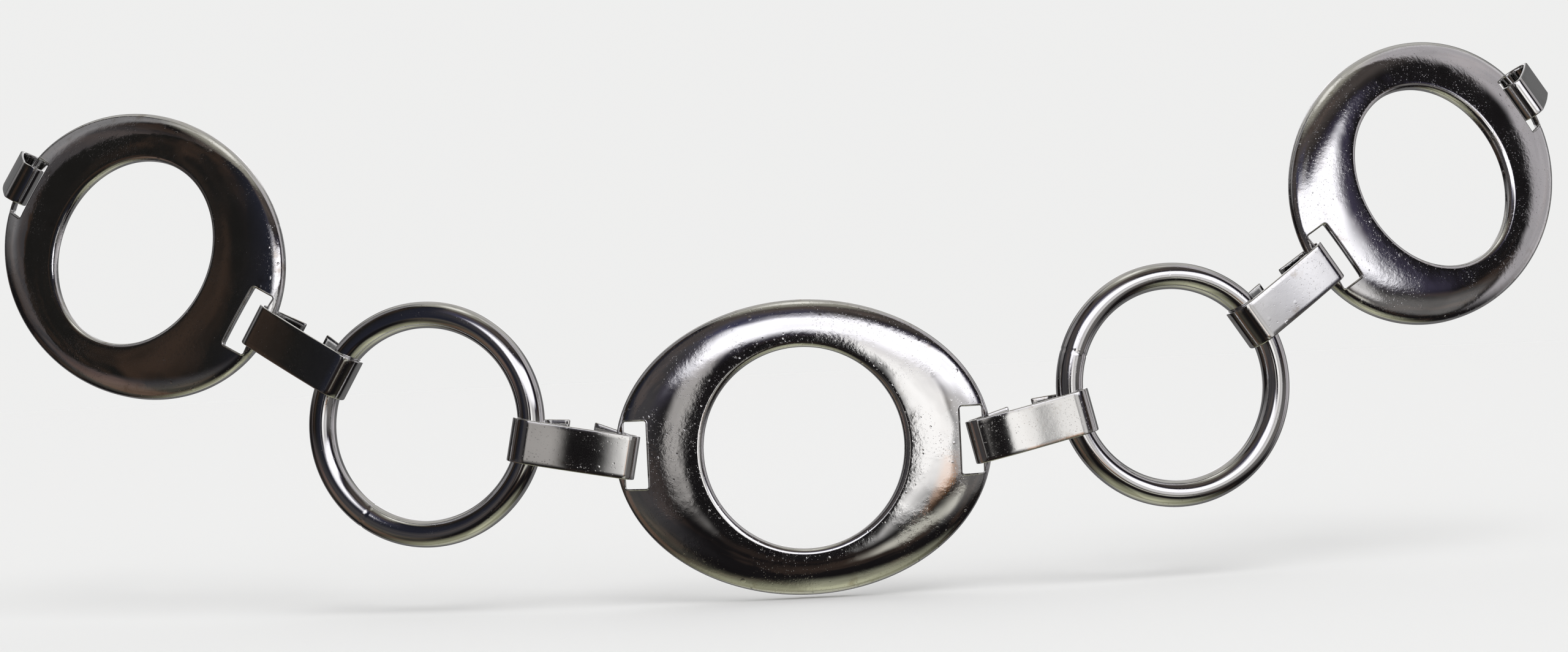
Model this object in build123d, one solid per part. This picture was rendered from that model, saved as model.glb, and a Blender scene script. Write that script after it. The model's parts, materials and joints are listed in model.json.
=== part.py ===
from build123d import *

import os
from math import cos, radians, sin, sqrt

# The front run of a chrome link belt, posed as it hangs round the front of a waist.
# Its pieces, from the middle outwards on both sides: an oval plate, a strap link, a round ring,
# a strap link, an oval plate and a last strap link whose free loop takes the next ring or a hook.
#
# +Z is up, +X is towards the right-hand end of the belt and the front faces -Y. The origin is the
# middle of the centre plate, in the plane of its back edge, where it lies against the wearer.
#
# In the frame of each piece, x runs outwards along the belt, y points at the wearer and z across.

# Oval plates: a domed stamping in sheet, with a large round hole and a slot near each end.
SHEET = 1.1
PLATE_LENGTH = 77.4
PLATE_WIDTH = 60.6
PLATE_DEPTH = 4.5
RIM_HEIGHT = 0.9
RIM_INSET = 0.55
CREST_DIAMETER = 44.4
FLANK_CURVE = 2.0  # 1 is a straight flank, and 2 is a quarter of an ellipse
FLANK_SECTIONS = 6
HOLE_DIAMETER = 41.0
LIP_DEPTH = 2.2
LIP_ROUND = 1.3

# Slots: the strip of sheet left outside a slot is the bar that a link folds round.
BAR_WIDTH = 2.0
SLOT_WIDTH = 4.6
SLOT_LENGTH = 13.7
SLOT_CORNER = 0.4

# Rings: round wire, butt jointed.
RING_DIAMETER = 51.0
WIRE_DIAMETER = 5.6

# Strap links: flat strip, folded back at both ends into a narrow loop and a wide loop.
STRIP = 0.8
STRAP_WIDTH = 9.0
LOOP_SPACING = 20.0
BAR_LOOP_RADIUS = 1.75
WIRE_LOOP_RADIUS = 3.15
FLAP_GAP = 5.7
FLAP_GAP_START = 7.2

# How each side of the belt hangs. Rise is the slope of a piece across the front of the wearer,
# and wrap is how far it has turned round towards the wearer's side, both in degrees.
INNER_LINK_RISE = {"left": 11.4, "right": 12.8}
OUTER_LINK_RISE = {"left": 31.5, "right": 34.4}
END_PLATE_RISE = {"left": 30.9, "right": 32.7}
INNER_LINK_WRAP = {"left": 2.5, "right": 6.0}
RING_WRAP = {"left": 10.6, "right": 10.0}
OUTER_LINK_WRAP = {"left": 15.0, "right": 12.0}
END_PLATE_WRAP = {"left": 22.0, "right": 24.9}
END_LINK_WRAP = {"left": 69.0, "right": 64.0}

# How far a bar lies from the middle of its loop. A link that is turned across its bar needs
# the bar further from the end of its loop than one that lies square on it.
TURNED_BAR_SEAT = 1.0
SQUARE_BAR_SEAT = 0.15

SIDES = {"left": -1, "right": 1}


def flank_height(outwards, rim_height, depth):
    """Height of a flank that far out, from 0 at its crest to 1 at its rim."""
    return rim_height + (depth - rim_height) * (1 - outwards**FLANK_CURVE) ** (1 / FLANK_CURVE)


# Worked out from the sizes above. A bar's middle is halfway up from the back edge to the flank
# at its slot. A wire lies a little across the middle of its loop, because it curves over the
# width of the strap.
BAR_REACH = (PLATE_LENGTH - BAR_WIDTH) / 2
BAR_START = 1 - 2 * BAR_WIDTH / (PLATE_LENGTH - CREST_DIAMETER)
BAR_HEIGHT = flank_height(BAR_START, RIM_HEIGHT, PLATE_DEPTH) / 2
WIRE_PATH_RADIUS = (RING_DIAMETER - WIRE_DIAMETER) / 2
WIRE_SAG = WIRE_PATH_RADIUS - sqrt(WIRE_PATH_RADIUS**2 - (STRAP_WIDTH / 2) ** 2)
LOOP_REACH = WIRE_PATH_RADIUS - WIRE_SAG / 2


def dome(length, width, crest_diameter, rim_height, depth):
    """A solid with an oval rim at z = 0, whose flank curves up to a flat round top."""
    sections = []
    for step in range(FLANK_SECTIONS):
        angle = radians(90 * step / (FLANK_SECTIONS - 1))
        climb = sin(angle) ** (2 / FLANK_CURVE)
        outwards = cos(angle) ** (2 / FLANK_CURVE)
        half_length = (crest_diameter + (length - crest_diameter) * outwards) / 2
        half_width = (crest_diameter + (width - crest_diameter) * outwards) / 2
        height = rim_height + (depth - rim_height) * climb
        if step < FLANK_SECTIONS - 1:
            outline = Ellipse(half_length, half_width)
        else:
            outline = Circle(half_length)
        sections.append((Pos(0, 0, height) * outline).face())
    solid = loft(sections)
    if rim_height > 0:
        solid += extrude(Ellipse(length / 2, width / 2), rim_height)
    return solid


def round_edge(solid, height, diameter, radius):
    """Fillet the one round edge of that height and diameter."""
    edges = [
        e
        for e in solid.edges().filter_by(GeomType.CIRCLE)
        if abs(e.center().Z - height) < 0.01 and abs(2 * e.radius - diameter) < 0.01
    ]
    return fillet(edges, radius)


def oval_plate():
    """A plate lying face up: its back edge is at z = 0 and its long axis is x."""
    outside = dome(PLATE_LENGTH, PLATE_WIDTH, CREST_DIAMETER, RIM_HEIGHT, PLATE_DEPTH)
    outside -= Cylinder(HOLE_DIAMETER / 2, 4 * PLATE_DEPTH)
    outside = round_edge(outside, PLATE_DEPTH, HOLE_DIAMETER, LIP_ROUND)

    inner_length = PLATE_LENGTH - 2 * RIM_INSET
    inner_width = PLATE_WIDTH - 2 * RIM_INSET
    inner_depth = PLATE_DEPTH - SHEET
    inside = dome(inner_length, inner_width, CREST_DIAMETER - RIM_INSET, 0, inner_depth)
    lip_diameter = HOLE_DIAMETER + 2 * SHEET
    lip = Cylinder(lip_diameter / 2, LIP_DEPTH, align=(Align.CENTER, Align.CENTER, Align.MAX))
    inside -= Pos(0, 0, PLATE_DEPTH) * lip
    inside = round_edge(inside, inner_depth, lip_diameter, LIP_ROUND - SHEET)

    slot_reach = PLATE_LENGTH / 2 - BAR_WIDTH - SLOT_WIDTH / 2
    slot = extrude(RectangleRounded(SLOT_WIDTH, SLOT_LENGTH, SLOT_CORNER), 2 * PLATE_DEPTH)
    return outside - inside - Pos(slot_reach, 0, 0) * slot - Pos(-slot_reach, 0, 0) * slot


def strap_link():
    """A link in its own frame: the narrow loop is at x = 0 and the wide loop at LOOP_SPACING."""
    narrow_inside = Circle(BAR_LOOP_RADIUS)
    wide_inside = Pos(LOOP_SPACING, 0) * Circle(WIRE_LOOP_RADIUS)
    inside = make_hull(narrow_inside.edges() + wide_inside.edges())
    narrow_outside = Circle(BAR_LOOP_RADIUS + STRIP)
    wide_outside = Pos(LOOP_SPACING, 0) * Circle(WIRE_LOOP_RADIUS + STRIP)
    outside = make_hull(narrow_outside.edges() + wide_outside.edges())
    gap_size = Rectangle(FLAP_GAP, 3 * WIRE_LOOP_RADIUS, align=(Align.MIN, Align.MIN))
    gap = Pos(FLAP_GAP_START, 0) * gap_size
    return extrude(outside - inside - gap, STRAP_WIDTH / 2, both=True)


def axes(side, rise, wrap):
    """The x, y and z directions of a piece at that rise and wrap."""
    up = radians(rise)
    turn = radians(wrap)
    x = Vector(side * cos(up) * cos(turn), sin(turn), sin(up) * cos(turn))
    y = Vector(-side * cos(up) * sin(turn), cos(turn), -sin(up) * sin(turn))
    return x, y, x.cross(y)


def flattened(direction, normal):
    """The direction, laid into the plane across that normal."""
    return (direction - normal * direction.dot(normal)).normalized()


def lay_out(name):
    """Where each piece of one side lies, where each joint is, and the free loop's middle."""
    side = SIDES[name]
    inner_link = axes(side, INNER_LINK_RISE[name], INNER_LINK_WRAP[name])
    ring = axes(side, INNER_LINK_RISE[name], RING_WRAP[name])
    end_plate = axes(side, END_PLATE_RISE[name], END_PLATE_WRAP[name])
    end_link = axes(side, END_PLATE_RISE[name], END_LINK_WRAP[name])

    centre_bar = Vector(side * BAR_REACH, -BAR_HEIGHT, 0)
    inner_origin = centre_bar - inner_link[0] * TURNED_BAR_SEAT
    inner_loop = inner_origin + inner_link[0] * LOOP_SPACING
    ring_centre = inner_loop + ring[0] * LOOP_REACH

    # The outer link leaves the ring in the ring's plane and folds about the wire there.
    outwards = axes(side, OUTER_LINK_RISE[name], OUTER_LINK_WRAP[name])[0]
    way_out = flattened(outwards, ring[1])
    outer_loop = ring_centre + way_out * LOOP_REACH
    wire_axis = way_out.cross(ring[1])
    along = flattened(outwards, wire_axis)
    outer_bar = outer_loop + along * (LOOP_SPACING - SQUARE_BAR_SEAT)

    plate_origin = outer_bar + end_plate[0] * BAR_REACH + end_plate[1] * BAR_HEIGHT
    end_bar = plate_origin + end_plate[0] * BAR_REACH - end_plate[1] * BAR_HEIGHT
    end_origin = end_bar - end_link[0] * SQUARE_BAR_SEAT

    # An outer link lies the other way round, with its wide loop on the ring, nearer the middle.
    outer_origin = outer_loop + along * LOOP_SPACING
    outer_link = (-along, wire_axis.cross(along), -wire_axis)
    pieces = {
        "inner_link": (inner_origin, inner_link),
        "ring": (ring_centre, ring),
        "outer_link": (outer_origin, outer_link),
        "plate": (plate_origin, end_plate),
        "end_link": (end_origin, end_link),
    }
    joints = {
        "inner_link": (centre_bar, Vector(0, 0, side)),
        "ring": (inner_loop, ring[2]),
        "outer_link": (outer_loop, wire_axis),
        "plate": (outer_bar, end_plate[2]),
        "end_link": (end_bar, end_plate[2]),
    }
    return pieces, joints, end_origin + end_link[0] * LOOP_SPACING


def place(shape, origin, frame):
    """Move a shape from its own frame to where it lies on the belt."""
    x, _, z = frame
    return Plane(origin=origin, x_dir=x, z_dir=z).location * shape


def belt():
    """Every piece of the belt, by name, where it lies."""
    face_forwards = Rot(90, 0, 0)
    plate = face_forwards * oval_plate()
    ring = face_forwards * Torus(WIRE_PATH_RADIUS, WIRE_DIAMETER / 2)
    link = strap_link()
    shapes = {"inner_link": link, "ring": ring, "outer_link": link, "plate": plate, "end_link": link}
    nodes = {"centre_plate": plate}
    for side_name in SIDES:
        pieces, _, _ = lay_out(side_name)
        for name, (origin, frame) in pieces.items():
            nodes[f"{side_name}_{name}"] = place(shapes[name], origin, frame)
    return nodes


if __name__ == "__main__":
    os.makedirs("parts", exist_ok=True)
    for node_name, shape in belt().items():
        export_step(shape, f"parts/{node_name}.step")
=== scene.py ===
import json
import math

import bpy
import numpy as np
from mathutils import Matrix, Vector, geometry


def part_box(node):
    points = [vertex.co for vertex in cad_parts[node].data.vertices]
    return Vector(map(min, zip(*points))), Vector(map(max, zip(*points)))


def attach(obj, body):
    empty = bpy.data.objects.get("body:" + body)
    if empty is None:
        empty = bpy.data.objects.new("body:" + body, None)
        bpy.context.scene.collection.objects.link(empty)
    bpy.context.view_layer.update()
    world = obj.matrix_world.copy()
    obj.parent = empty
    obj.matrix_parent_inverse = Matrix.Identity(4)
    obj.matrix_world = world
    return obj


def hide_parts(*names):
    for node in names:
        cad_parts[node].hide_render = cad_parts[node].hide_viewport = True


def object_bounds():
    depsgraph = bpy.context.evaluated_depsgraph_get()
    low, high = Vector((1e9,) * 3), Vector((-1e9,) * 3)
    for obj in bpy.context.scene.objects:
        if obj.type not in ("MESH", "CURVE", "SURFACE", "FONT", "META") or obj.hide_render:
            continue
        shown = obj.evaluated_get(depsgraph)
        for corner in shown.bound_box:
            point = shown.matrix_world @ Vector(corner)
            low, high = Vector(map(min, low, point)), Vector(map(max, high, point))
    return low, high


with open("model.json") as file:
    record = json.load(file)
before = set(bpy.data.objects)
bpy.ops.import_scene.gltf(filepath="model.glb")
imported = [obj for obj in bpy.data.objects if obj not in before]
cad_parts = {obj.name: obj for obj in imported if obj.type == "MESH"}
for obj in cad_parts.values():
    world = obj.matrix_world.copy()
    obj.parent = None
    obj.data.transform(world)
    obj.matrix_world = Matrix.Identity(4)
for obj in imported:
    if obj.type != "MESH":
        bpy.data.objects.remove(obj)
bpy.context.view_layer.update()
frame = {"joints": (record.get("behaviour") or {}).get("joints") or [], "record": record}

MM = 0.001
SIDES = ("left", "right")

# Sizes of the pieces, the same as the CAD model's, in millimetres.
SHEET = 1.1
PLATE_HALF_LENGTH = 38.7
PLATE_HALF_WIDTH = 30.3
PLATE_DEPTH = 4.5
RIM_HEIGHT = 0.9
RIM_INSET = 0.55
CREST_RADIUS = 22.2
FLANK_CURVE = 2.0
HOLE_RADIUS = 20.5
LIP_DEPTH = 2.2
LIP_ROUND = 1.3
BAR_WIDTH = 2.0
SLOT_WIDTH = 4.6
SLOT_LENGTH = 13.7
SLOT_CORNER = 0.4
WIRE_RADIUS = 2.8
WIRE_PATH_RADIUS = 22.7
STRIP = 0.8
STRAP_WIDTH = 9.0
LOOP_SPACING = 20.0
BAR_LOOP_RADIUS = 1.75
WIRE_LOOP_RADIUS = 3.15
FLAP_GAP = 5.7
FLAP_GAP_START = 7.2

SLOT_X = PLATE_HALF_LENGTH - BAR_WIDTH - SLOT_WIDTH / 2

# Details that only this model has, in millimetres unless they say otherwise.
LIP_EDGE = 0.2
SLOT_EDGE = {"outer": 0.28, "inner": 0.12}
SLOT_HOLD = {"outer": 0.15, "inner": 0.06}
STRIP_CORNER = 0.26
SEAM_DEPTH = 0.12
SEAM_DEGREES = 0.45
# Where each ring's butt joint is, seen from the front: degrees from the wearer's left, upwards.
SEAMS = {"left": 234, "right": 161}
# How far each link's two flaps slide up past its strip, the bar's first.
FLAP_SKEWS = {
    ("left", "inner_link"): (1.3, 1.0),
    ("right", "inner_link"): (0.5, 0.7),
    ("left", "outer_link"): (0.7, 0.9),
    ("right", "outer_link"): (0.1, 0.4),
    ("left", "end_link"): (0.8, 0.4),
    ("right", "end_link"): (0.6, 0.9),
}
# How far the front of each link bows forwards, and how much more sharply near the bar. The bows
# can't be seen in the photograph. They put the bands of light where it has them.
STRAP_BOWS = {("left", "inner_link"): (0.42, 0.0), ("right", "inner_link"): (0.60, 0.6)}
USUAL_BOW = (0.28, 0.0)


# ---------------------------------------------------------------- where each piece is

joints = {j["name"]: (Vector(j["pos_m"]) / MM, Vector(j["axis"])) for j in frame["joints"]}
mounts = {m["name"]: Vector(m["pos_m"]) / MM for m in frame["record"]["mounts"]}


def piece_frame(origin, x, z):
    """A piece's own frame: x outwards along the belt, y towards the wearer."""
    z = z.normalized()
    x = (x - z * x.dot(z)).normalized()
    y = z.cross(x)
    rotation = Matrix((x, y, z)).transposed().to_4x4()
    return Matrix.Translation(origin) @ rotation


def middle(node):
    low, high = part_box(node)
    return (low + high) / 2 / MM


def flank_height(out, rim, depth):
    """Height of a plate's flank over its back, that far out from the crest at 0 to the rim at 1."""
    return rim + (depth - rim) * (1 - out**FLANK_CURVE) ** (1 / FLANK_CURVE)


BAR_START = 1 - BAR_WIDTH / (PLATE_HALF_LENGTH - CREST_RADIUS)
BAR_HEIGHT = flank_height(BAR_START, RIM_HEIGHT, PLATE_DEPTH) / 2


def piece_frames():
    frames = {"centre_plate": Matrix.Identity(4)}
    for side in SIDES:
        bar, _ = joints[f"{side}_slot_fold"]
        loop, loop_axis = joints[f"{side}_ring_fold"]
        out_loop, out_axis = joints[f"{side}_outer_ring_fold"]
        out_bar, plate_axis = joints[f"{side}_plate_fold"]
        end_bar, end_axis = joints[f"{side}_end_fold"]
        free = mounts[f"{side}_free_loop"]
        along = (loop - bar).normalized()
        frames[f"{side}_inner_link"] = piece_frame(loop - along * LOOP_SPACING, along, loop_axis)
        ring = middle(f"{side}_ring")
        frames[f"{side}_ring"] = piece_frame(ring, ring - loop, loop_axis)
        along = (out_bar - out_loop).normalized()
        frames[f"{side}_outer_link"] = piece_frame(out_loop + along * LOOP_SPACING, -along, -out_axis)
        plate = piece_frame((out_bar + end_bar) / 2, end_bar - out_bar, plate_axis)
        frames[f"{side}_plate"] = plate @ Matrix.Translation((0, BAR_HEIGHT, 0))
        along = (free - end_bar).normalized()
        frames[f"{side}_end_link"] = piece_frame(free - along * LOOP_SPACING, along, end_axis)
    return frames


FRAMES = piece_frames()


def make_piece(node, points, faces, material, edge):
    """A smooth mesh object that stands for a CAD node and rides on its body. The mesh keeps each
    point's place in the piece's own frame, and its distance from the nearest edge, both in
    millimetres, for the material."""
    name = f"{node}_chrome"
    world = np.array(FRAMES[node])
    placed = (points @ world[:3, :3].T + world[:3, 3]) * MM
    mesh = bpy.data.meshes.new(name)
    mesh.from_pydata([tuple(p) for p in placed], [], faces)
    mesh.update()
    mesh.polygons.foreach_set("use_smooth", [True] * len(mesh.polygons))
    own = mesh.attributes.new("own_place", "FLOAT_VECTOR", "POINT")
    own.data.foreach_set("vector", np.asarray(points, np.float32).ravel())
    near = mesh.attributes.new("edge", "FLOAT", "POINT")
    near.data.foreach_set("value", np.asarray(edge, np.float32))
    mesh.materials.append(material)
    piece = bpy.data.objects.new(name, mesh)
    bpy.context.scene.collection.objects.link(piece)
    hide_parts(node)
    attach(piece, node)


CORNERS = ((1, 1, 0), (-1, 1, 90), (-1, -1, 180), (1, -1, 270))
CORNER_STEPS = 4


def rounded_rectangle(half_x, half_z, corner, spacing, centre_x=0, grow=0):
    """Points round a rectangle with round corners, grown outwards by that much."""
    points = []
    r = corner + grow
    for way_x, way_z, start in CORNERS:
        x, z = centre_x + way_x * (half_x - corner), way_z * (half_z - corner)
        for k in range(CORNER_STEPS + 1):
            a = math.radians(start + 90 * k / CORNER_STEPS)
            points.append((x + r * math.cos(a), z + r * math.sin(a)))
    spaced = []
    for i, p in enumerate(points):
        q = points[(i + 1) % len(points)]
        steps = max(1, round(math.dist(p, q) / spacing))
        for k in range(steps):
            spaced.append((p[0] + (q[0] - p[0]) * k / steps, p[1] + (q[1] - p[1]) * k / steps))
    return spaced


def bridge(faces, a, b, flip=False):
    """Adds the faces between two closed rows of as many points."""
    n = len(a)
    for k in range(n):
        face = (a[k], a[(k + 1) % n], b[(k + 1) % n], b[k])
        faces.append(tuple(reversed(face)) if flip else face)


# ---------------------------------------------------------------- plates

AROUND = 240
LIP_ROWS = 3
ROUND_ROWS = 12
FLANK_ROWS = 34
RIM_ROWS = 3
LIP_EDGE_ROWS = 6
SLOT_SPACING = 0.55
# The round edge of a slot: how far out and how far down each of its rows is, as shares of it.
SLOT_EDGE_ROWS = ((1, 0), (0.5, 0.134), (0.134, 0.5), (0, 1))
# Round each slot a patch is left out of the rows and filled with triangles: from how far out to how
# far out, and how many degrees to each side. No grid point in it is as near the slot as the margin.
PATCH_START = 0.47
PATCH_END = {"outer": 0.985, "inner": 0.9999}
PATCH_DEGREES = 17.5
PATCH_SLACK_DEGREES = 0.76
SLOT_MARGIN = 0.35
# Triangles with less than half this area, in square millimetres, are dropped.
SLIVER = 2e-3
MERGE_DISTANCE = 1e-7
# How far out a place is gets found by halving, from 0 to this.
FARTHEST_OUT = 1.2
HALVINGS = 40

SKINS = {
    "outer": {
        "hole": HOLE_RADIUS,
        "lip_round": LIP_ROUND,
        "crest": CREST_RADIUS,
        "half_length": PLATE_HALF_LENGTH,
        "half_width": PLATE_HALF_WIDTH,
        "rim": RIM_HEIGHT,
        "depth": PLATE_DEPTH,
    },
    "inner": {
        "hole": HOLE_RADIUS + SHEET,
        "lip_round": LIP_ROUND - SHEET,
        "crest": CREST_RADIUS - RIM_INSET / 2,
        "half_length": PLATE_HALF_LENGTH - RIM_INSET,
        "half_width": PLATE_HALF_WIDTH - RIM_INSET,
        "rim": 0,
        "depth": PLATE_DEPTH - SHEET,
    },
}
LIP_BOTTOM = PLATE_DEPTH - LIP_DEPTH + LIP_EDGE


def oval(skin, out):
    """Half axes of the oval that far out, from the crest at 0 to the rim at 1."""
    crest = skin["crest"]
    return crest + (skin["half_length"] - crest) * out, crest + (skin["half_width"] - crest) * out


def how_far_out(x, z, skin):
    """Which oval goes through x, z."""
    low, high = 0.0, FARTHEST_OUT
    for _ in range(HALVINGS):
        mid = (low + high) / 2
        half_x, half_z = oval(skin, mid)
        if (x / half_x) ** 2 + (z / half_z) ** 2 > 1:
            low = mid
        else:
            high = mid
    return low


def plate_rows(skin):
    """Rows of a plate's skin, from the lip's edge to the rim: (x radius, z radius, height, how far out)."""
    hole, lip_round, rim, depth = skin["hole"], skin["lip_round"], skin["rim"], skin["depth"]
    rows = []
    for i in range(LIP_ROWS):
        height = LIP_BOTTOM + (depth - lip_round - LIP_BOTTOM) * i / LIP_ROWS
        rows.append((hole, hole, height, 0))
    for i in range(ROUND_ROWS + 1):
        a = math.pi / 2 * i / ROUND_ROWS
        r = hole + lip_round * (1 - math.cos(a))
        rows.append((r, r, depth - lip_round * (1 - math.sin(a)), 0))
    for i in range(FLANK_ROWS + 1):
        a = math.pi / 2 * (1 - i / FLANK_ROWS)
        out = math.cos(a) ** (2 / FLANK_CURVE)
        climb = math.sin(a) ** (2 / FLANK_CURVE)
        rows.append((*oval(skin, out), rim + (depth - rim) * climb, out))
    if rim > 0:
        for i in range(1, RIM_ROWS + 1):
            rows.append((skin["half_length"], skin["half_width"], rim * (1 - i / RIM_ROWS), 1))
    return rows


def flat(point):
    return Vector((point[0], point[2]))


def span(values):
    return min(values), max(values)


def patch_faces(points, border, slot_loops, grid, belongs):
    """Triangles between a patch's border and its slot, over the grid points that are clear of the
    slot. belongs says of a triangle's middle whether it is in the patch."""
    ids = list(border)
    for loop in slot_loops:
        ids += loop
    where = {v: n for n, v in enumerate(ids)}
    edges = []
    for ring in [border, *slot_loops]:
        edges += [(where[v], where[ring[(n + 1) % len(ring)]]) for n, v in enumerate(ring)]
    x0, x1 = span([points[v][0] for v in slot_loops[0]])
    z0, z1 = span([points[v][2] for v in slot_loops[0]])
    for v in grid:
        x, _, z = points[v]
        near_x = x0 - SLOT_MARGIN < x < x1 + SLOT_MARGIN
        near_z = z0 - SLOT_MARGIN < z < z1 + SLOT_MARGIN
        if not (near_x and near_z):
            ids.append(v)
    result = geometry.delaunay_2d_cdt([flat(points[v]) for v in ids], edges, [], 0, MERGE_DISTANCE)
    triangles, origin = result[2], result[3]
    outline = slot_loops[-1]
    x0, x1 = span([points[v][0] for v in outline])
    z0, z1 = span([points[v][2] for v in outline])
    made = []
    for triangle in triangles:
        vs = [ids[origin[v][0]] for v in triangle]
        x = sum(points[v][0] for v in vs) / 3
        z = sum(points[v][2] for v in vs) / 3
        in_slot = x0 < x < x1 and z0 < z < z1 and all(v in outline for v in vs)
        if in_slot or not belongs(x, z):
            continue
        p, q, r = (flat(points[v]) for v in vs)
        area = (q.x - p.x) * (r.y - p.y) - (q.y - p.y) * (r.x - p.x)
        if abs(area) < SLIVER:
            continue
        made.append(tuple(vs) if area < 0 else tuple(reversed(vs)))
    return made


def add_skin(points, faces, side, slot_loops):
    """Adds one skin of a plate, its two slots filled in round their outlines, and returns its first
    and last rows of points."""
    skin = SKINS[side]
    rows = plate_rows(skin)
    start = len(points)
    for half_x, half_z, height, _ in rows:
        for k in range(AROUND):
            t = 2 * math.pi * (k + 0.5) / AROUND
            points.append((half_x * math.cos(t), -height, half_z * math.sin(t)))

    def index(row, column):
        return start + row * AROUND + column % AROUND

    out = [row[3] for row in rows]
    first = next(i for i, o in enumerate(out) if o > PATCH_START) - 1
    last = next(i for i, o in enumerate(out) if o > PATCH_END[side])
    reach = round(AROUND * PATCH_DEGREES / 360)
    widest = 2 * math.pi * reach / AROUND + math.radians(PATCH_SLACK_DEGREES)
    patches = [range(-reach, reach), range(AROUND // 2 - reach, AROUND // 2 + reach)]
    taken = {(i, k % AROUND) for patch in patches for k in patch for i in range(first, last)}
    added = []
    for i in range(len(rows) - 1):
        for k in range(AROUND):
            if (i, k) not in taken:
                added.append((index(i, k), index(i, k + 1), index(i + 1, k + 1), index(i + 1, k)))
    for slot, patch in enumerate(patches):
        columns = [*patch, patch[-1] + 1]
        border = [index(first, k) for k in columns]
        border += [index(i, columns[-1]) for i in range(first + 1, last + 1)]
        border += [index(last, k) for k in reversed(columns[:-1])]
        border += [index(i, columns[0]) for i in range(last - 1, first, -1)]
        grid = [index(i, k) for i in range(first + 1, last) for k in columns[1:-1]]

        def belongs(x, z):
            o = how_far_out(x, z, skin)
            half_x, half_z = oval(skin, o)
            a = math.atan2(z / half_z, x / half_x) - math.pi * slot
            turned = math.atan2(math.sin(a), math.cos(a))
            return out[first] <= o <= out[last] and abs(turned) <= widest

        added += patch_faces(points, border, slot_loops[slot], grid, belongs)
    faces += [tuple(reversed(f)) for f in added] if side == "inner" else added
    first_row = [index(0, k) for k in range(AROUND)]
    last_row = [index(len(rows) - 1, k) for k in range(AROUND)]
    return first_row, last_row


def slot_edge_loops(points, sign, side):
    """Loops of points round a slot on one skin, from the strip that holds its round edge down over
    the edge into the slot."""
    skin, edge = SKINS[side], SLOT_EDGE[side]
    down = 1 if side == "outer" else -1
    rows = [(edge + SLOT_HOLD[side], 0)] + [(edge * grow, edge * drop) for grow, drop in SLOT_EDGE_ROWS]
    loops = []
    for grow, drop in rows:
        outline = rounded_rectangle(
            SLOT_WIDTH / 2, SLOT_LENGTH / 2, SLOT_CORNER, SLOT_SPACING, sign * SLOT_X, grow
        )
        loops.append(list(range(len(points), len(points) + len(outline))))
        for x, z in outline:
            height = flank_height(min(how_far_out(x, z, skin), 1), skin["rim"], skin["depth"])
            points.append((x, -(height - down * drop), z))
    return loops


def plate_mesh():
    points, faces = [], []
    held, walls = {"outer": [], "inner": []}, []
    for sign in (1, -1):
        outer, inner = (slot_edge_loops(points, sign, side) for side in ("outer", "inner"))
        held["outer"].append(outer[:2])
        held["inner"].append(inner[:2])
        walls.append(outer[1:] + inner[:0:-1])
    first_outer, last_outer = add_skin(points, faces, "outer", held["outer"])
    first_inner, last_inner = add_skin(points, faces, "inner", held["inner"])
    for loops in walls:
        for a, b in zip(loops, loops[1:]):
            bridge(faces, a, b)
    # Round the lip's edge over to the inside.
    rows = [first_outer]
    for k in range(1, LIP_EDGE_ROWS):
        a = math.pi * k / LIP_EDGE_ROWS
        r = HOLE_RADIUS + SHEET / 2 - SHEET / 2 * math.cos(a)
        height = LIP_BOTTOM - LIP_EDGE * math.sin(a)
        rows.append(list(range(len(points), len(points) + AROUND)))
        for j in range(AROUND):
            t = 2 * math.pi * (j + 0.5) / AROUND
            points.append((r * math.cos(t), -height, r * math.sin(t)))
    rows.append(first_inner)
    for a, b in zip(rows, rows[1:]):
        bridge(faces, a, b, True)
    # Close the back of the rim.
    bridge(faces, last_outer, last_inner)
    return np.array(points), faces


def plate_edge(points):
    """How far each point of a plate is from its hole, its slots or its rim."""
    x, z = np.abs(points[:, 0]), np.abs(points[:, 2])
    hole = np.hypot(x, z) - HOLE_RADIUS
    dx, dz = np.abs(x - SLOT_X) - SLOT_WIDTH / 2, z - SLOT_LENGTH / 2
    slot = np.hypot(np.maximum(dx, 0), np.maximum(dz, 0)) + np.minimum(np.maximum(dx, dz), 0)
    rim = (1 - np.hypot(x / PLATE_HALF_LENGTH, z / PLATE_HALF_WIDTH)) * PLATE_HALF_WIDTH
    return np.maximum(np.minimum(np.minimum(hole, slot), rim), 0)


# ---------------------------------------------------------------- rings

RING_AROUND = 360
RING_ACROSS = 40
# Farther from an edge than any wear reaches.
NO_EDGE = 9.0


def ring_mesh(seam):
    """Round wire bent into a ring lying across y, with its butt joint at that angle, in degrees, in
    the ring's own frame."""
    points = []
    for i in range(RING_AROUND):
        a = 2 * math.pi * i / RING_AROUND
        off = (math.degrees(a) - seam + 180) % 360 - 180
        r = WIRE_RADIUS - SEAM_DEPTH * math.exp(-((off / SEAM_DEGREES) ** 2))
        for k in range(RING_ACROSS):
            b = 2 * math.pi * k / RING_ACROSS
            reach = WIRE_PATH_RADIUS + r * math.cos(b)
            points.append((reach * math.cos(a), r * math.sin(b), reach * math.sin(a)))
    rows = [list(range(i * RING_ACROSS, (i + 1) * RING_ACROSS)) for i in range(RING_AROUND)]
    faces = []
    for i, row in enumerate(rows):
        bridge(faces, row, rows[(i + 1) % RING_AROUND])
    return np.array(points), faces


# ---------------------------------------------------------------- strap links

BAR_FLAP_ROWS = 10
BAR_LOOP_ROWS = 22
FRONT_ROWS = 26
WIRE_LOOP_ROWS = 30
WIRE_FLAP_ROWS = 8
STRAP_SPACING = 0.8
# The strip's round ends: how far each row is drawn in, and how far it sticks out.
END_ROWS = ((STRIP_CORNER, STRIP_CORNER), (0.08, 0.18), (0, 0))


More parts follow.
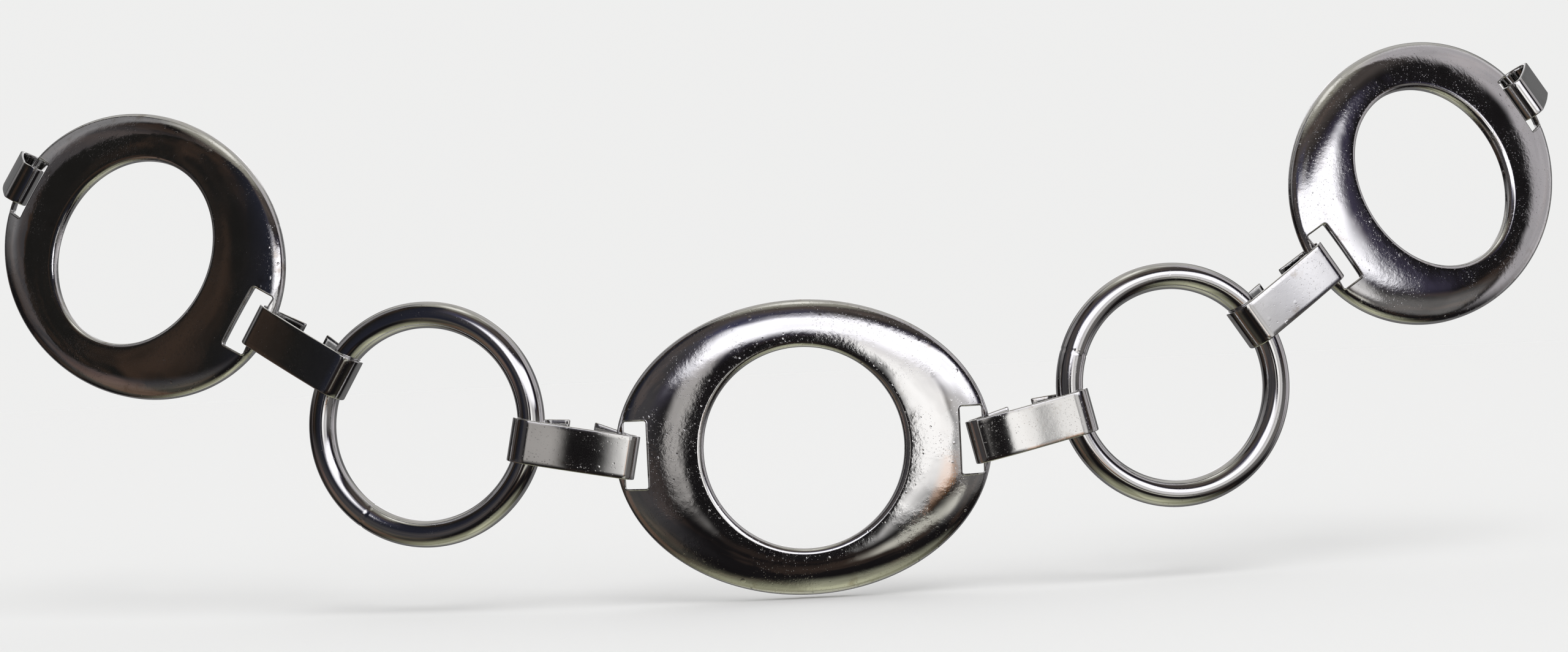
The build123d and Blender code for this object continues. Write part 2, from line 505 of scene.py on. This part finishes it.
def strap_path(bow, kink):
    """The middle line of a link's strip, with its normal, from one flap's end to the other's. Its front
    run bows forwards by that much, and more sharply near the bar by that share."""
    narrow = BAR_LOOP_RADIUS + STRIP / 2
    wide = WIRE_LOOP_RADIUS + STRIP / 2
    lean = math.asin((wide - narrow) / LOOP_SPACING)
    back = math.pi / 2 + lean
    path = []

    def line(start, end, angle, steps):
        for k in range(steps):
            share = k / steps
            x, y = start[0] + (end[0] - start[0]) * share, start[1] + (end[1] - start[1]) * share
            path.append((x, y, math.cos(angle), math.sin(angle)))

    def arc(x, r, start, end, steps):
        for k in range(steps):
            a = start + (end - start) * k / steps
            path.append((x + r * math.cos(a), r * math.sin(a), math.cos(a), math.sin(a)))

    def on_back(x):
        return x, (narrow - math.cos(back) * x) / math.sin(back)

    def on_loop(x, r, a):
        return x + r * math.cos(a), r * math.sin(a)

    line(on_back(FLAP_GAP_START), on_loop(0, narrow, back), back, BAR_FLAP_ROWS)
    arc(0, narrow, back, 2 * math.pi - back, BAR_LOOP_ROWS)
    front = len(path)
    line(on_loop(0, narrow, -back), on_loop(LOOP_SPACING, wide, -back), -back, FRONT_ROWS)
    for k in range(FRONT_ROWS):
        x, y, nx, ny = path[front + k]
        a = math.pi * k / FRONT_ROWS
        swell = bow * (math.sin(a) + kink / 2 * math.sin(2 * a))
        turn = bow * math.pi / LOOP_SPACING * (math.cos(a) + kink * math.cos(2 * a))
        path[front + k] = (x + nx * swell, y + ny * swell, nx + ny * turn, ny - nx * turn)
    arc(LOOP_SPACING, wide, -back, back, WIRE_LOOP_ROWS)
    end = on_back(FLAP_GAP_START + FLAP_GAP)
    line(on_loop(LOOP_SPACING, wide, back), end, back, WIRE_FLAP_ROWS)
    path.append((*end, math.cos(back), math.sin(back)))
    return path


def link_mesh(skews, bow, kink):
    path = strap_path(bow, kink)
    section = rounded_rectangle(STRAP_WIDTH / 2, STRIP / 2, STRIP_CORNER, STRAP_SPACING)
    last = len(path) - 1
    points = []

    def slip(row):
        """How far a flap has slid along its fold at that row."""
        if row <= BAR_FLAP_ROWS:
            return skews[0] * (BAR_FLAP_ROWS - row) / BAR_FLAP_ROWS
        return skews[1] * max(row - last + WIRE_FLAP_ROWS, 0) / WIRE_FLAP_ROWS

    def add_row(row, shrink=0.0, forward=0.0):
        x, y, nx, ny = path[row]
        before = 1 if row == 0 else row - 1
        dx, dy = x - path[before][0], y - path[before][1]
        size = math.hypot(dx, dy) or 1
        x, y = x + dx / size * forward, y + dy / size * forward
        for across, through in section:
            across = math.copysign(max(abs(across) - shrink, 0), across)
            through = math.copysign(max(abs(through) - shrink, 0), through)
            points.append((x + nx * through, y + ny * through, across + slip(row)))

    for shrink, forward in END_ROWS:
        add_row(0, shrink, forward)
    for row in range(1, last):
        add_row(row)
    for shrink, forward in reversed(END_ROWS):
        add_row(last, shrink, forward)
    n = len(section)
    rows = [list(range(start, start + n)) for start in range(0, len(points), n)]
    faces = []
    for a, b in zip(rows, rows[1:]):
        bridge(faces, a, b)
    faces += [tuple(reversed(rows[0])), tuple(rows[-1])]
    return np.array(points), faces


# ---------------------------------------------------------------- shader nodes


def add(tree, kind, inputs=None, **settings):
    """A node with those settings, its inputs set to values or linked to sockets."""
    made = tree.nodes.new(kind)
    for name, value in settings.items():
        setattr(made, name, value)
    for name, value in (inputs or {}).items():
        if isinstance(value, bpy.types.NodeSocket):
            tree.links.new(value, made.inputs[name])
        else:
            made.inputs[name].default_value = value
    return made


def calc(tree, operation, *values, clamp=False):
    made = add(tree, "ShaderNodeMath", dict(enumerate(values)), operation=operation, use_clamp=clamp)
    return made.outputs[0]


def times(tree, a, b):
    return calc(tree, "MULTIPLY", a, b)


def plus(tree, a, b):
    return calc(tree, "ADD", a, b)


def colour_times(tree, colour, factor):
    made = add(tree, "ShaderNodeVectorMath", {0: colour}, operation="SCALE")
    tree.links.new(factor, made.inputs["Scale"])
    return made.outputs[0]


def colour_plus(tree, a, b):
    return add(tree, "ShaderNodeVectorMath", {0: a, 1: b}, operation="ADD").outputs[0]


def ramp(tree, value, low, high, out_low=0.0, out_high=1.0):
    """value taken smoothly from low..high to out_low..out_high."""
    inputs = {"Value": value, "From Min": low, "From Max": high, "To Min": out_low, "To Max": out_high}
    return add(tree, "ShaderNodeMapRange", inputs, interpolation_type="SMOOTHSTEP", clamp=True).outputs[0]


def noise_at(tree, place, scale, detail, rough, stretch=(1, 1, 1), shift=(0, 0, 0)):
    moved = add(tree, "ShaderNodeMapping", {"Vector": place, "Scale": stretch, "Location": shift}).outputs[0]
    inputs = {"Vector": moved, "Scale": scale, "Detail": detail, "Roughness": rough}
    return add(tree, "ShaderNodeTexNoise", inputs).outputs["Fac"]


def mix_shaders(tree, factor, first, second):
    return add(tree, "ShaderNodeMixShader", {0: factor, 1: first.outputs[0], 2: second.outputs[0]})


def coordinates(tree, kind):
    return add(tree, "ShaderNodeTexCoord").outputs[kind]


# ---------------------------------------------------------------- old chrome

# Spots in the plating: how many cells to a millimetre, a spot's usual radius in millimetres, the
# share of cells that have one, and how far they are moved from the others.
TINY_PITS = {"per_mm": 2.6, "radius": 0.11, "share": 0.36, "shift": (0, 0, 0)}
SMALL_PITS = {"per_mm": 1.1, "radius": 0.18, "share": 0.15, "shift": (5, 5, 5)}
BLISTERS = {"per_mm": 0.5, "radius": 0.42, "share": 0.30, "shift": (9, 2, 4)}
DULL_SPOTS = {"per_mm": 1.7, "radius": 0.16, "share": 0.35, "shift": (1, 8, 3)}
SMALLEST_SPOT = 0.35
BOWL_CURVE = 0.6
# Noises, with their scale to a millimetre: the worn patches, slow waves, peeled plating, scratches
# along and across a strip, haze and stains.
WORN_PATCHES = {"scale": 0.085, "detail": 3, "rough": 0.6}
WAVES = {"scale": 0.11, "detail": 1.5, "rough": 0.4}
PEELING = {"scale": 1.25, "detail": 3, "rough": 0.55}
LONG_SCRATCHES = {"scale": 1.0, "detail": 4, "rough": 0.7, "stretch": (0.35, 14, 14)}
CROSS_SCRATCHES = {"scale": 1.0, "detail": 3, "rough": 0.6, "stretch": (9, 0.6, 0.5)}
HAZE = {"scale": 0.35, "detail": 4, "rough": 0.6}
STAINS = {"scale": 0.22, "detail": 4, "rough": 0.65, "shift": (20, 4, 9)}
# How deep or high each is in millimetres, for a material whose own factor for it is 1.
TINY_PIT_DEPTH = 0.012
SMALL_PIT_DEPTH = 0.020
BLISTER_HEIGHT = 0.05
LONG_SCRATCH_DEPTH = 0.0016
CROSS_SCRATCH_DEPTH = 0.0006
# What each adds to the roughness.
HAZE_ROUGHNESS = 0.04
WORN_ROUGHNESS = 0.03
SPOT_ROUGHNESS = 0.25
# Wear grows towards an edge, over these distances in millimetres, and in patches.
EDGE_WEAR = (0.2, 4.5)
EDGE_SHARE = 0.8
PATCH_RANGE = (0.40, 0.60)
STAIN_RANGE = (0.56, 0.74)
STAIN_SHARE = 0.55
SPOT_STAIN_SHARE = 0.30
STAIN_COLOUR = (0.34, 0.26, 0.17, 1)


def spots(tree, place, per_mm, radius, share, shift):
    """Round spots, one to a Voronoi cell in that share of the cells, 1 at a spot's middle."""
    moved = add(tree, "ShaderNodeMapping", {"Vector": place, "Location": shift}).outputs[0]
    cells = add(tree, "ShaderNodeTexVoronoi", {"Vector": moved, "Scale": per_mm})
    random = add(tree, "ShaderNodeSeparateColor", {"Color": cells.outputs["Color"]})
    chosen = calc(tree, "LESS_THAN", random.outputs[0], share)
    size = times(tree, plus(tree, random.outputs[1], SMALLEST_SPOT), radius * per_mm)
    away = calc(tree, "DIVIDE", cells.outputs["Distance"], size)
    bowl = calc(tree, "SUBTRACT", 1.0, away, clamp=True)
    return times(tree, calc(tree, "POWER", bowl, BOWL_CURVE), chosen)


def wear(tree, place, edge):
    """How close to an edge a place is, and how worn, both from 0 to 1, with the worn patches."""
    near_edge = ramp(tree, edge, *EDGE_WEAR, 1, 0)
    patches = ramp(tree, noise_at(tree, place, **WORN_PATCHES), *PATCH_RANGE)
    worn = calc(tree, "MAXIMUM", times(tree, near_edge, EDGE_SHARE), patches)
    return near_edge, patches, worn


def chrome(name, seed, colour, rough, wave, peeling, pits, blisters, brushed):
    """Old chrome plate: slightly wavy, pitted and blistered, with hazy patches and fine scratches."""
    material = bpy.data.materials.new(name)
    material.use_nodes = True
    tree = material.node_tree
    bsdf = tree.nodes["Principled BSDF"]
    own = add(tree, "ShaderNodeAttribute", attribute_name="own_place").outputs["Vector"]
    edge = add(tree, "ShaderNodeAttribute", attribute_name="edge").outputs["Fac"]
    # Each material's patterns lie elsewhere, in millimetres.
    move = {"Scale": (1 / MM, 1 / MM, 1 / MM), "Location": (seed, 3 * seed, 7 * seed)}
    place = add(tree, "ShaderNodeMapping", {"Vector": coordinates(tree, "Object"), **move}).outputs[0]
    near_edge, patches, worn = wear(tree, place, edge)

    height = times(tree, noise_at(tree, place, **WAVES), wave)
    peel = times(tree, noise_at(tree, place, **PEELING), times(tree, patches, peeling))
    tiny = times(tree, spots(tree, place, **TINY_PITS), times(tree, worn, -TINY_PIT_DEPTH * pits))
    small = times(tree, spots(tree, place, **SMALL_PITS), times(tree, worn, -SMALL_PIT_DEPTH * pits))
    raised = times(tree, spots(tree, place, **BLISTERS), times(tree, near_edge, BLISTER_HEIGHT * blisters))
    along = times(tree, noise_at(tree, own, **LONG_SCRATCHES), LONG_SCRATCH_DEPTH * brushed)
    cross = times(tree, noise_at(tree, own, **CROSS_SCRATCHES), CROSS_SCRATCH_DEPTH * brushed)
    for part in (peel, tiny, small, raised, along, cross):
        height = plus(tree, height, part)
    bump = add(tree, "ShaderNodeBump", {"Height": height, "Strength": 1.0, "Distance": MM})

    dull = times(tree, spots(tree, place, **DULL_SPOTS), worn)
    roughness = plus(tree, rough, times(tree, noise_at(tree, place, **HAZE), HAZE_ROUGHNESS))
    roughness = plus(tree, roughness, times(tree, worn, WORN_ROUGHNESS))
    roughness = plus(tree, roughness, times(tree, dull, SPOT_ROUGHNESS))

    stain = ramp(tree, noise_at(tree, place, **STAINS), *STAIN_RANGE)
    stain = times(tree, stain, times(tree, near_edge, STAIN_SHARE))
    stain = calc(tree, "MAXIMUM", stain, times(tree, dull, SPOT_STAIN_SHARE))
    mixed = add(tree, "ShaderNodeMix", {"Factor": stain}, data_type="RGBA")
    # Mix has one set of sockets to each data type, so its colour sockets are set by place.
    mixed.inputs[6].default_value = (*colour, 1)
    mixed.inputs[7].default_value = STAIN_COLOUR
    tree.links.new(mixed.outputs[2], bsdf.inputs["Base Color"])
    bsdf.inputs["Metallic"].default_value = 1
    tree.links.new(roughness, bsdf.inputs["Roughness"])
    tree.links.new(bump.outputs[0], bsdf.inputs["Normal"])
    return material


PLATE_CHROME = chrome(
    "plate_chrome",
    seed=1,
    colour=(0.82, 0.82, 0.83),
    rough=0.03,
    wave=0.09,
    peeling=0.022,
    pits=1.5,
    blisters=1.4,
    brushed=0.0,
)
RING_CHROME = chrome(
    "ring_chrome",
    seed=2,
    colour=(0.79, 0.79, 0.80),
    rough=0.03,
    wave=0.012,
    peeling=0.004,
    pits=0.6,
    blisters=0.0,
    brushed=0.0,
)
LINK_CHROME = chrome(
    "link_chrome",
    seed=3,
    colour=(0.76, 0.76, 0.76),
    rough=0.045,
    wave=0.03,
    peeling=0.005,
    pits=0.8,
    blisters=0.5,
    brushed=0.4,
)


# ---------------------------------------------------------------- the pieces


PLATE_POINTS, PLATE_FACES = plate_mesh()


def make_plate(node):
    make_piece(node, PLATE_POINTS, PLATE_FACES, PLATE_CHROME, plate_edge(PLATE_POINTS))


def make_ring(side):
    node = f"{side}_ring"
    angle = math.radians(SEAMS[side])
    seam = FRAMES[node].to_3x3().transposed() @ Vector((math.cos(angle), 0, math.sin(angle)))
    points, faces = ring_mesh(math.degrees(math.atan2(seam.z, seam.x)))
    make_piece(node, points, faces, RING_CHROME, np.full(len(points), NO_EDGE))


def make_link(side, kind):
    node = f"{side}_{kind}"
    # A link's own z points up or down, and its flaps slide up.
    upward = 1 if FRAMES[node][2][2] > 0 else -1
    skews = [upward * skew for skew in FLAP_SKEWS[side, kind]]
    points, faces = link_mesh(skews, *STRAP_BOWS.get((side, kind), USUAL_BOW))
    edge = np.maximum(STRAP_WIDTH / 2 - np.abs(points[:, 2]), 0)
    make_piece(node, points, faces, LINK_CHROME, edge)


make_plate("centre_plate")
for side in SIDES:
    make_plate(f"{side}_plate")
    make_ring(side)
    for kind in ("inner_link", "outer_link", "end_link"):
        make_link(side, kind)


# ---------------------------------------------------------------- camera

# Fitted to the outlines of the pieces in the photograph. The place is in millimetres, the turns are
# in degrees, and the focal length is in pixels of an image that wide.
CAMERA_PLACE = (-6.2, -388.9, 22.5)
PITCH, ROLL, YAW = -0.363, 2.658, 0.484
FOCAL_LENGTH = 3085.5
IMAGE_WIDTH = 2560
SENSOR_WIDTH = 36.0
CLIP_METRES = (0.01, 50)


def make_camera():
    pitch, roll, yaw = (math.radians(turn) for turn in (PITCH, ROLL, YAW))
    level = Vector((math.cos(yaw), -math.sin(yaw), 0))
    forward = Vector((math.cos(pitch) * math.sin(yaw), math.cos(pitch) * math.cos(yaw), -math.sin(pitch)))
    upright = level.cross(forward)
    right = level * math.cos(roll) - upright * math.sin(roll)
    up = level * math.sin(roll) + upright * math.cos(roll)
    data = bpy.data.cameras.new("camera")
    data.sensor_width = SENSOR_WIDTH
    data.lens = SENSOR_WIDTH * FOCAL_LENGTH / IMAGE_WIDTH
    data.clip_start, data.clip_end = CLIP_METRES
    camera = bpy.data.objects.new("camera", data)
    bpy.context.scene.collection.objects.link(camera)
    place = Matrix((right, up, -forward)).transposed().to_4x4()
    place.translation = Vector(CAMERA_PLACE) * MM
    camera.matrix_world = place
    bpy.context.scene.camera = camera


make_camera()


# ---------------------------------------------------------------- floor

PALE = (0.86, 0.86, 0.855)
FLOOR_ROUGHNESS = 0.9
FLOOR_DROP = 0.6
FLOOR_RADII = (60, 200, 600, 2500)
FLOOR_AROUND = 96


def stage_object(name, verts, faces):
    """A mesh object, given in millimetres, that belongs to the stage."""
    mesh = bpy.data.meshes.new(name)
    mesh.from_pydata([tuple(part * MM for part in vert) for vert in verts], [], faces)
    mesh.update()
    made = bpy.data.objects.new(name, mesh)
    bpy.context.scene.collection.objects.link(made)
    return made


def make_floor():
    """A pale round floor just under the belt, which reflections don't see."""
    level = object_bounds()[0][2] / MM - FLOOR_DROP
    turns = [2 * math.pi * k / FLOOR_AROUND for k in range(FLOOR_AROUND)]
    verts = [(0, 0, level)]
    verts += [(r * math.cos(t), r * math.sin(t), level) for r in FLOOR_RADII for t in turns]
    faces = [(0, 1 + k, 1 + (k + 1) % FLOOR_AROUND) for k in range(FLOOR_AROUND)]
    starts = [1 + i * FLOOR_AROUND for i in range(len(FLOOR_RADII))]
    rings = [list(range(start, start + FLOOR_AROUND)) for start in starts]
    for inner, outer in zip(rings, rings[1:]):
        for k in range(FLOOR_AROUND):
            m = (k + 1) % FLOOR_AROUND
            faces.append((inner[k], outer[k], outer[m], inner[m]))
    floor = stage_object("floor", verts, faces)
    floor.visible_glossy = False
    paper = bpy.data.materials.new("floor_paper")
    paper.use_nodes = True
    bsdf = paper.node_tree.nodes["Principled BSDF"]
    bsdf.inputs["Base Color"].default_value = (*PALE, 1)
    bsdf.inputs["Roughness"].default_value = FLOOR_ROUGHNESS
    floor.data.materials.append(paper)


make_floor()


# ---------------------------------------------------------------- what the chrome mirrors

# Soft panels round the belt, which only reflections see, placed by azimuth (0 in front, 90 on the
# wearer's left) and elevation in degrees. Each has its two spans, each with how soft its edges are,
# and its colour. They stand in for the room round the photograph's belt: they were set from how
# bright the photograph is in each mirrored direction, and their names are only guesses.
PANELS = {
    "window": ((-17, 55, 5), (10, 33, 4), (1.32, 1.31, 1.33)),
    "window_fringe": ((-22, 63, 4), (7, 38, 5), (0.040, 0.035, 0.062)),
    "window_head": ((-10, 20, 6), (31, 41, 4), (0.36, 0.35, 0.35)),
    "sill": ((5, 20, 1.6), (-9, 9, 5), (1.10, 1.08, 1.05)),
    "left_sill": ((-14, -7, 1.8), (-8, 10, 5), (0.44, 0.42, 0.40)),
    "right_sill": ((21, 43, 4), (-9, 11, 4), (0.58, 0.57, 0.56)),
    "warm_hand": ((15, 22, 2), (-12, -7, 2.5), (0.30, 0.12, 0.02)),
    "lower_streak": ((9, 34, 4), (-22, -16, 2.5), (0.54, 0.53, 0.46)),
    "low_shelf": ((27, 75, 4), (-24, 2, 6), (0.13, 0.125, 0.12)),
    "left_room": ((-92, -20, 8), (-24, 44, 10), (0.045, 0.043, 0.045)),
    "lower_left": ((-100, -34, 12), (-46, -18, 8), (0.045, 0.042, 0.032)),
    "blue_cloth": ((-26, 8, 7), (30, 52, 7), (0.012, 0.016, 0.045)),
    "ceiling": ((-55, 80, 14), (44, 68, 8), (0.06, 0.05, 0.045)),
    "lamp_shade": ((-180, 180, 5), (68, 95, 8), (0.30, 0.29, 0.24)),
    "lamp": ((-180, 180, 5), (81, 95, 5), (0.60, 0.59, 0.56)),
    "brown_chair": ((-86, -60, 5), (-48, -8, 8), (0.07, 0.032, 0.018)),
    "right_wall": ((80, 122, 3), (-16, 75, 14), (0.42, 0.40, 0.41)),
    "left_wall": ((-122, -87, 6), (14, 80, 12), (0.22, 0.215, 0.215)),
    "wearer": ((122, 236, 8), (30, 66, 10), (0.34, 0.33, 0.30)),
    "back_window": ((164, 196, 6), (-2, 28, 6), (0.95, 0.94, 0.95)),
    "back_room": ((112, 248, 8), (-95, 95, 8), (0.14, 0.14, 0.14)),
    "table": ((-200, 200, 5), (-95, -58, 16), (0.30, 0.30, 0.20)),
    "table_shine": ((0, 64, 8), (-86, -43, 6), (0.18, 0.18, 0.13)),
}
HALF_TURN = 180
# A span that starts on the wearer's left and ends past the back is measured on round that way, and
# the azimuths from here back are then taken a full turn higher.
BEHIND_FROM = -130.0
ROOM = (0.009, 0.008, 0.0085)
# Blotches of unknown things in the room, and how unevenly everything is lit.
CLUTTER = (0.030, 0.019, 0.013)
CLUTTER_NOISE = {"scale": 2.6, "detail": 3, "rough": 0.6, "stretch": (1, 1, 1.6)}
CLUTTER_RANGE = (0.50, 0.66)
SHADE_NOISE = {"scale": 4.5, "detail": 3, "rough": 0.6}
SHADE_RANGE = (0.35, 0.65)
SHADE = (0.86, 1.06)
DAYLIGHT = 0.84


def soft_span(tree, value, start, end, soft):
    rise = ramp(tree, value, start - soft, start + soft)
    fall = ramp(tree, value, end - soft, end + soft, 1, 0)
    return times(tree, rise, fall)


def mirrored_room(tree):
    """The colour that a reflection sees in its direction."""
    direction = coordinates(tree, "Generated")
    x, y, z = add(tree, "ShaderNodeSeparateXYZ", {"Vector": direction}).outputs
    degrees = HALF_TURN / math.pi
    azimuth = times(tree, calc(tree, "ARCTAN2", x, times(tree, y, -1.0)), degrees)
    elevation = times(tree, calc(tree, "ARCSINE", z), degrees)
    behind = calc(tree, "LESS_THAN", azimuth, BEHIND_FROM)
    round_the_back = plus(tree, azimuth, times(tree, behind, 2 * HALF_TURN))
    seen = ROOM
    for (start, end, soft), (lowest, highest, blur), colour in PANELS.values():
        bearing = round_the_back if start > 0 and end > HALF_TURN else azimuth
        across = soft_span(tree, bearing, start, end, soft)
        upright = soft_span(tree, elevation, lowest, highest, blur)
        seen = colour_plus(tree, seen, colour_times(tree, colour, times(tree, across, upright)))
    blotches = ramp(tree, noise_at(tree, direction, **CLUTTER_NOISE), *CLUTTER_RANGE)
    seen = colour_plus(tree, seen, colour_times(tree, CLUTTER, blotches))
    shade = ramp(tree, noise_at(tree, direction, **SHADE_NOISE), *SHADE_RANGE, *SHADE)
    return colour_times(tree, seen, shade)


def make_world():
    """Reflections see the panels, the camera sees a pale backdrop, and the rest is even daylight."""
    studio = bpy.data.worlds.new("studio")
    studio.use_nodes = True
    tree = studio.node_tree
    mirrored = add(tree, "ShaderNodeBackground", {"Color": mirrored_room(tree)})
    backdrop = add(tree, "ShaderNodeBackground", {"Color": (*PALE, 1), "Strength": 1.0})
    daylight = add(tree, "ShaderNodeBackground", {"Color": (1, 1, 1, 1), "Strength": DAYLIGHT})
    ray = add(tree, "ShaderNodeLightPath").outputs
    plain = mix_shaders(tree, ray["Is Camera Ray"], daylight, backdrop)
    choice = mix_shaders(tree, ray["Is Glossy Ray"], plain, mirrored)
    tree.links.new(choice.outputs[0], tree.nodes["World Output"].inputs["Surface"])
    bpy.context.scene.world = studio


make_world()



# ---------------------------------------------------------------- dark card

# A dark card hung in front, on the left, keeps the left half dark. Only reflections see it. Its
# inner edge and its lower edge fade out. It is tinted brown in blotches, and blue towards its inner
# edge.
CARD_X = (-92, -600)
CARD_Y = -60
CARD_Z = (-14, 260)
CARD_FADE = 26.0
CARD_COLOUR = (0.011, 0.0104, 0.0094)
CARD_BROWN = (0.032, 0.017, 0.010)
CARD_BLUE = (0.007, 0.009, 0.021)
BROWN_NOISE = {"scale": 9, "detail": 3, "rough": 0.6, "stretch": (1, 1, 0.6)}
BROWN_RANGE = (0.48, 0.66)
BLUE_FADES = 4


def card_material():
    material = bpy.data.materials.new("black_card")
    material.use_nodes = True
    tree = material.node_tree
    tree.nodes.remove(tree.nodes["Principled BSDF"])
    place = coordinates(tree, "Object")
    x, _, z = add(tree, "ShaderNodeSeparateXYZ", {"Vector": place}).outputs
    edge, bottom = CARD_X[0], CARD_Z[0]
    across = ramp(tree, x, (edge - CARD_FADE) * MM, edge * MM, 1, 0)
    upright = ramp(tree, z, bottom * MM, (bottom + CARD_FADE) * MM)
    brown = ramp(tree, noise_at(tree, place, **BROWN_NOISE), *BROWN_RANGE)
    blue = ramp(tree, x, (edge - BLUE_FADES * CARD_FADE) * MM, edge * MM)
    tint = colour_plus(tree, colour_times(tree, CARD_BROWN, brown), colour_times(tree, CARD_BLUE, blue))
    tint = colour_plus(tree, tint, CARD_COLOUR)
    dark = add(tree, "ShaderNodeEmission", {"Color": tint, "Strength": 1.0})
    clear = add(tree, "ShaderNodeBsdfTransparent")
    card = mix_shaders(tree, times(tree, across, upright), clear, dark)
    tree.links.new(card.outputs[0], tree.nodes["Material Output"].inputs["Surface"])
    return material


def make_card():
    corners = [(0, 0), (0, 1), (1, 1), (1, 0)]
    verts = [(CARD_X[i], CARD_Y, CARD_Z[k]) for i, k in corners]
    card = stage_object("black_card", verts, [(0, 1, 2, 3)])
    card.visible_camera = card.visible_diffuse = card.visible_shadow = False
    card.data.materials.append(card_material())


make_card()


# ---------------------------------------------------------------- sun

SUN_STRENGTH = 0.74
SUN_SPREAD = 38.0
SUN_PLACE = (150, -200, 600)
SUN_WAY = (-0.25, 0.35, -1)


def make_sun():
    """A broad soft sun that shades the floor, and that reflections don't see."""
    data = bpy.data.lights.new("softbox", "SUN")
    data.energy = SUN_STRENGTH
    data.angle = math.radians(SUN_SPREAD)
    sun = bpy.data.objects.new("softbox", data)
    bpy.context.scene.collection.objects.link(sun)
    sun.location = Vector(SUN_PLACE) * MM
    sun.rotation_euler = Vector(SUN_WAY).to_track_quat("-Z", "Y").to_euler()
    sun.visible_glossy = False


make_sun()
bpy.context.scene.view_settings.view_transform = "Standard"
